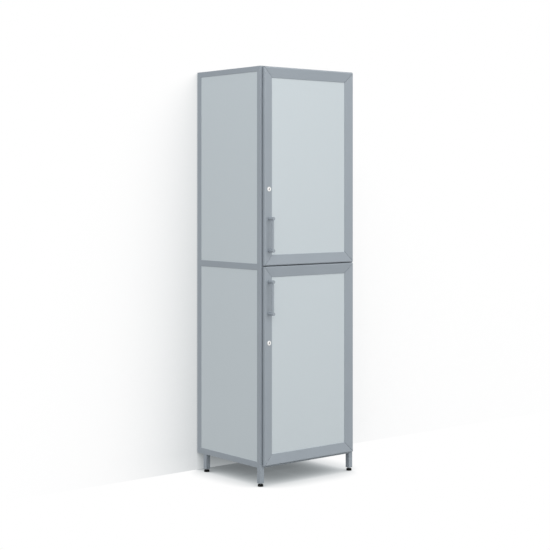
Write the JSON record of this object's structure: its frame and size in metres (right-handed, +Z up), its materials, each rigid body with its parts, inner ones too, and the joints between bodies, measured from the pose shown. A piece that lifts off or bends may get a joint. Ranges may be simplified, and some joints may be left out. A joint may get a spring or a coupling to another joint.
{
  "type": "laboratory storage cabinet",
  "caption": "Tall free-standing storage cabinet with framed overlay doors one above the other, bar handles, cam locks, shelves and levelling feet.",
  "frame": {"origin": "on the floor, under the centre of the overall box with the feet at rest and the doors closed", "axes": "+Z up, -Y towards the door fronts, +X towards the hinge side"},
  "size_m": [0.628, 0.5882, 2.1],
  "materials": {
    "frame_paint": "satin blue-grey powder coat",
    "panel_board": "matt light grey laminate",
    "shelf_board": "matt light grey laminate",
    "handle_paint": "satin blue-grey powder coat",
    "hardware_steel": "zinc plated",
    "lock_ring": "bright plated",
    "lock_steel": "dark plated",
    "plug_plastic": "matt grey",
    "foot_plastic": "matt black"
  },
  "bodies": {
    "carcass": {"back_panel": "panel_board", "back_screws": "hardware_steel", "bottom_panel": "panel_board", "front_low_rail": "frame_paint", "front_mid_rail": "frame_paint", "front_post_left": "frame_paint", "front_post_right": "frame_paint", "front_top_rail": "frame_paint", "hinge_frame_leaves": "hardware_steel", "hinge_pins": "hardware_steel", "left_low_rail": "frame_paint", "left_lower_panel": "panel_board", "left_mid_rail": "frame_paint", "left_top_rail": "frame_paint", "left_upper_panel": "panel_board", "leg_plugs": "plug_plastic", "lower_shelves": "shelf_board", "middle_deck": "panel_board", "rear_legs": "frame_paint", "rear_low_rail": "frame_paint", "rear_mid_rail": "frame_paint", "rear_post_left": "frame_paint", "rear_post_right": "frame_paint", "rear_top_rail": "frame_paint", "right_low_rail": "frame_paint", "right_lower_panel": "panel_board", "right_mid_rail": "frame_paint", "right_top_rail": "frame_paint", "right_upper_panel": "panel_board", "shelf_pins": "hardware_steel", "top_panel": "panel_board", "upper_shelves": "shelf_board"},
    "upper_door": {"upper_door_hinge_stile": "frame_paint", "upper_door_lock_stile": "frame_paint", "upper_door_low_rail": "frame_paint", "upper_door_panel": "panel_board", "upper_door_top_rail": "frame_paint", "upper_handle_bar": "handle_paint", "upper_handle_posts": "handle_paint", "upper_handle_screws": "hardware_steel", "upper_hinge_door_leaves": "hardware_steel", "upper_lock_housing": "lock_ring"},
    "lower_door": {"lower_door_hinge_stile": "frame_paint", "lower_door_lock_stile": "frame_paint", "lower_door_low_rail": "frame_paint", "lower_door_panel": "panel_board", "lower_door_top_rail": "frame_paint", "lower_handle_bar": "handle_paint", "lower_handle_posts": "handle_paint", "lower_handle_screws": "hardware_steel", "lower_hinge_door_leaves": "hardware_steel", "lower_lock_housing": "lock_ring"},
    "upper_lock": {"upper_lock_cam": "lock_steel", "upper_lock_plug": "lock_steel"},
    "lower_lock": {"lower_lock_cam": "lock_steel", "lower_lock_plug": "lock_steel"},
    "foot_front_left": {"foot_front_left": "foot_plastic"},
    "foot_front_right": {"foot_front_right": "foot_plastic"},
    "foot_rear_left": {"foot_rear_left": "foot_plastic"},
    "foot_rear_right": {"foot_rear_right": "foot_plastic"}
  },
  "joints": [
    {"name": "upper_door_hinge", "type": "hinge", "parent": "carcass", "child": "upper_door", "pos_m": [0.30625, -0.24066, 1.1], "axis": [0, 0, 1], "range_deg": [0, 165]},
    {"name": "upper_lock_turn", "type": "hinge", "parent": "upper_door", "child": "upper_lock", "pos_m": [-0.269, -0.25941, 1.4845], "axis": [0, -1, 0], "range_deg": [0, 90]},
    {"name": "lower_door_hinge", "type": "hinge", "parent": "carcass", "child": "lower_door", "pos_m": [0.30625, -0.24066, 1.1], "axis": [0, 0, 1], "range_deg": [0, 165]},
    {"name": "lower_lock_turn", "type": "hinge", "parent": "lower_door", "child": "lower_lock", "pos_m": [-0.269, -0.25941, 0.7155], "axis": [0, -1, 0], "range_deg": [0, 90]},
    {"name": "foot_front_left_level", "type": "slide", "parent": "carcass", "child": "foot_front_left", "axis": [0, 0, 1], "range_m": [-0.02, 0.004]},
    {"name": "foot_front_right_level", "type": "slide", "parent": "carcass", "child": "foot_front_right", "axis": [0, 0, 1], "range_m": [-0.02, 0.004]},
    {"name": "foot_rear_left_level", "type": "slide", "parent": "carcass", "child": "foot_rear_left", "axis": [0, 0, 1], "range_m": [-0.02, 0.004]},
    {"name": "foot_rear_right_level", "type": "slide", "parent": "carcass", "child": "foot_rear_right", "axis": [0, 0, 1], "range_m": [-0.02, 0.004]}
  ]
}
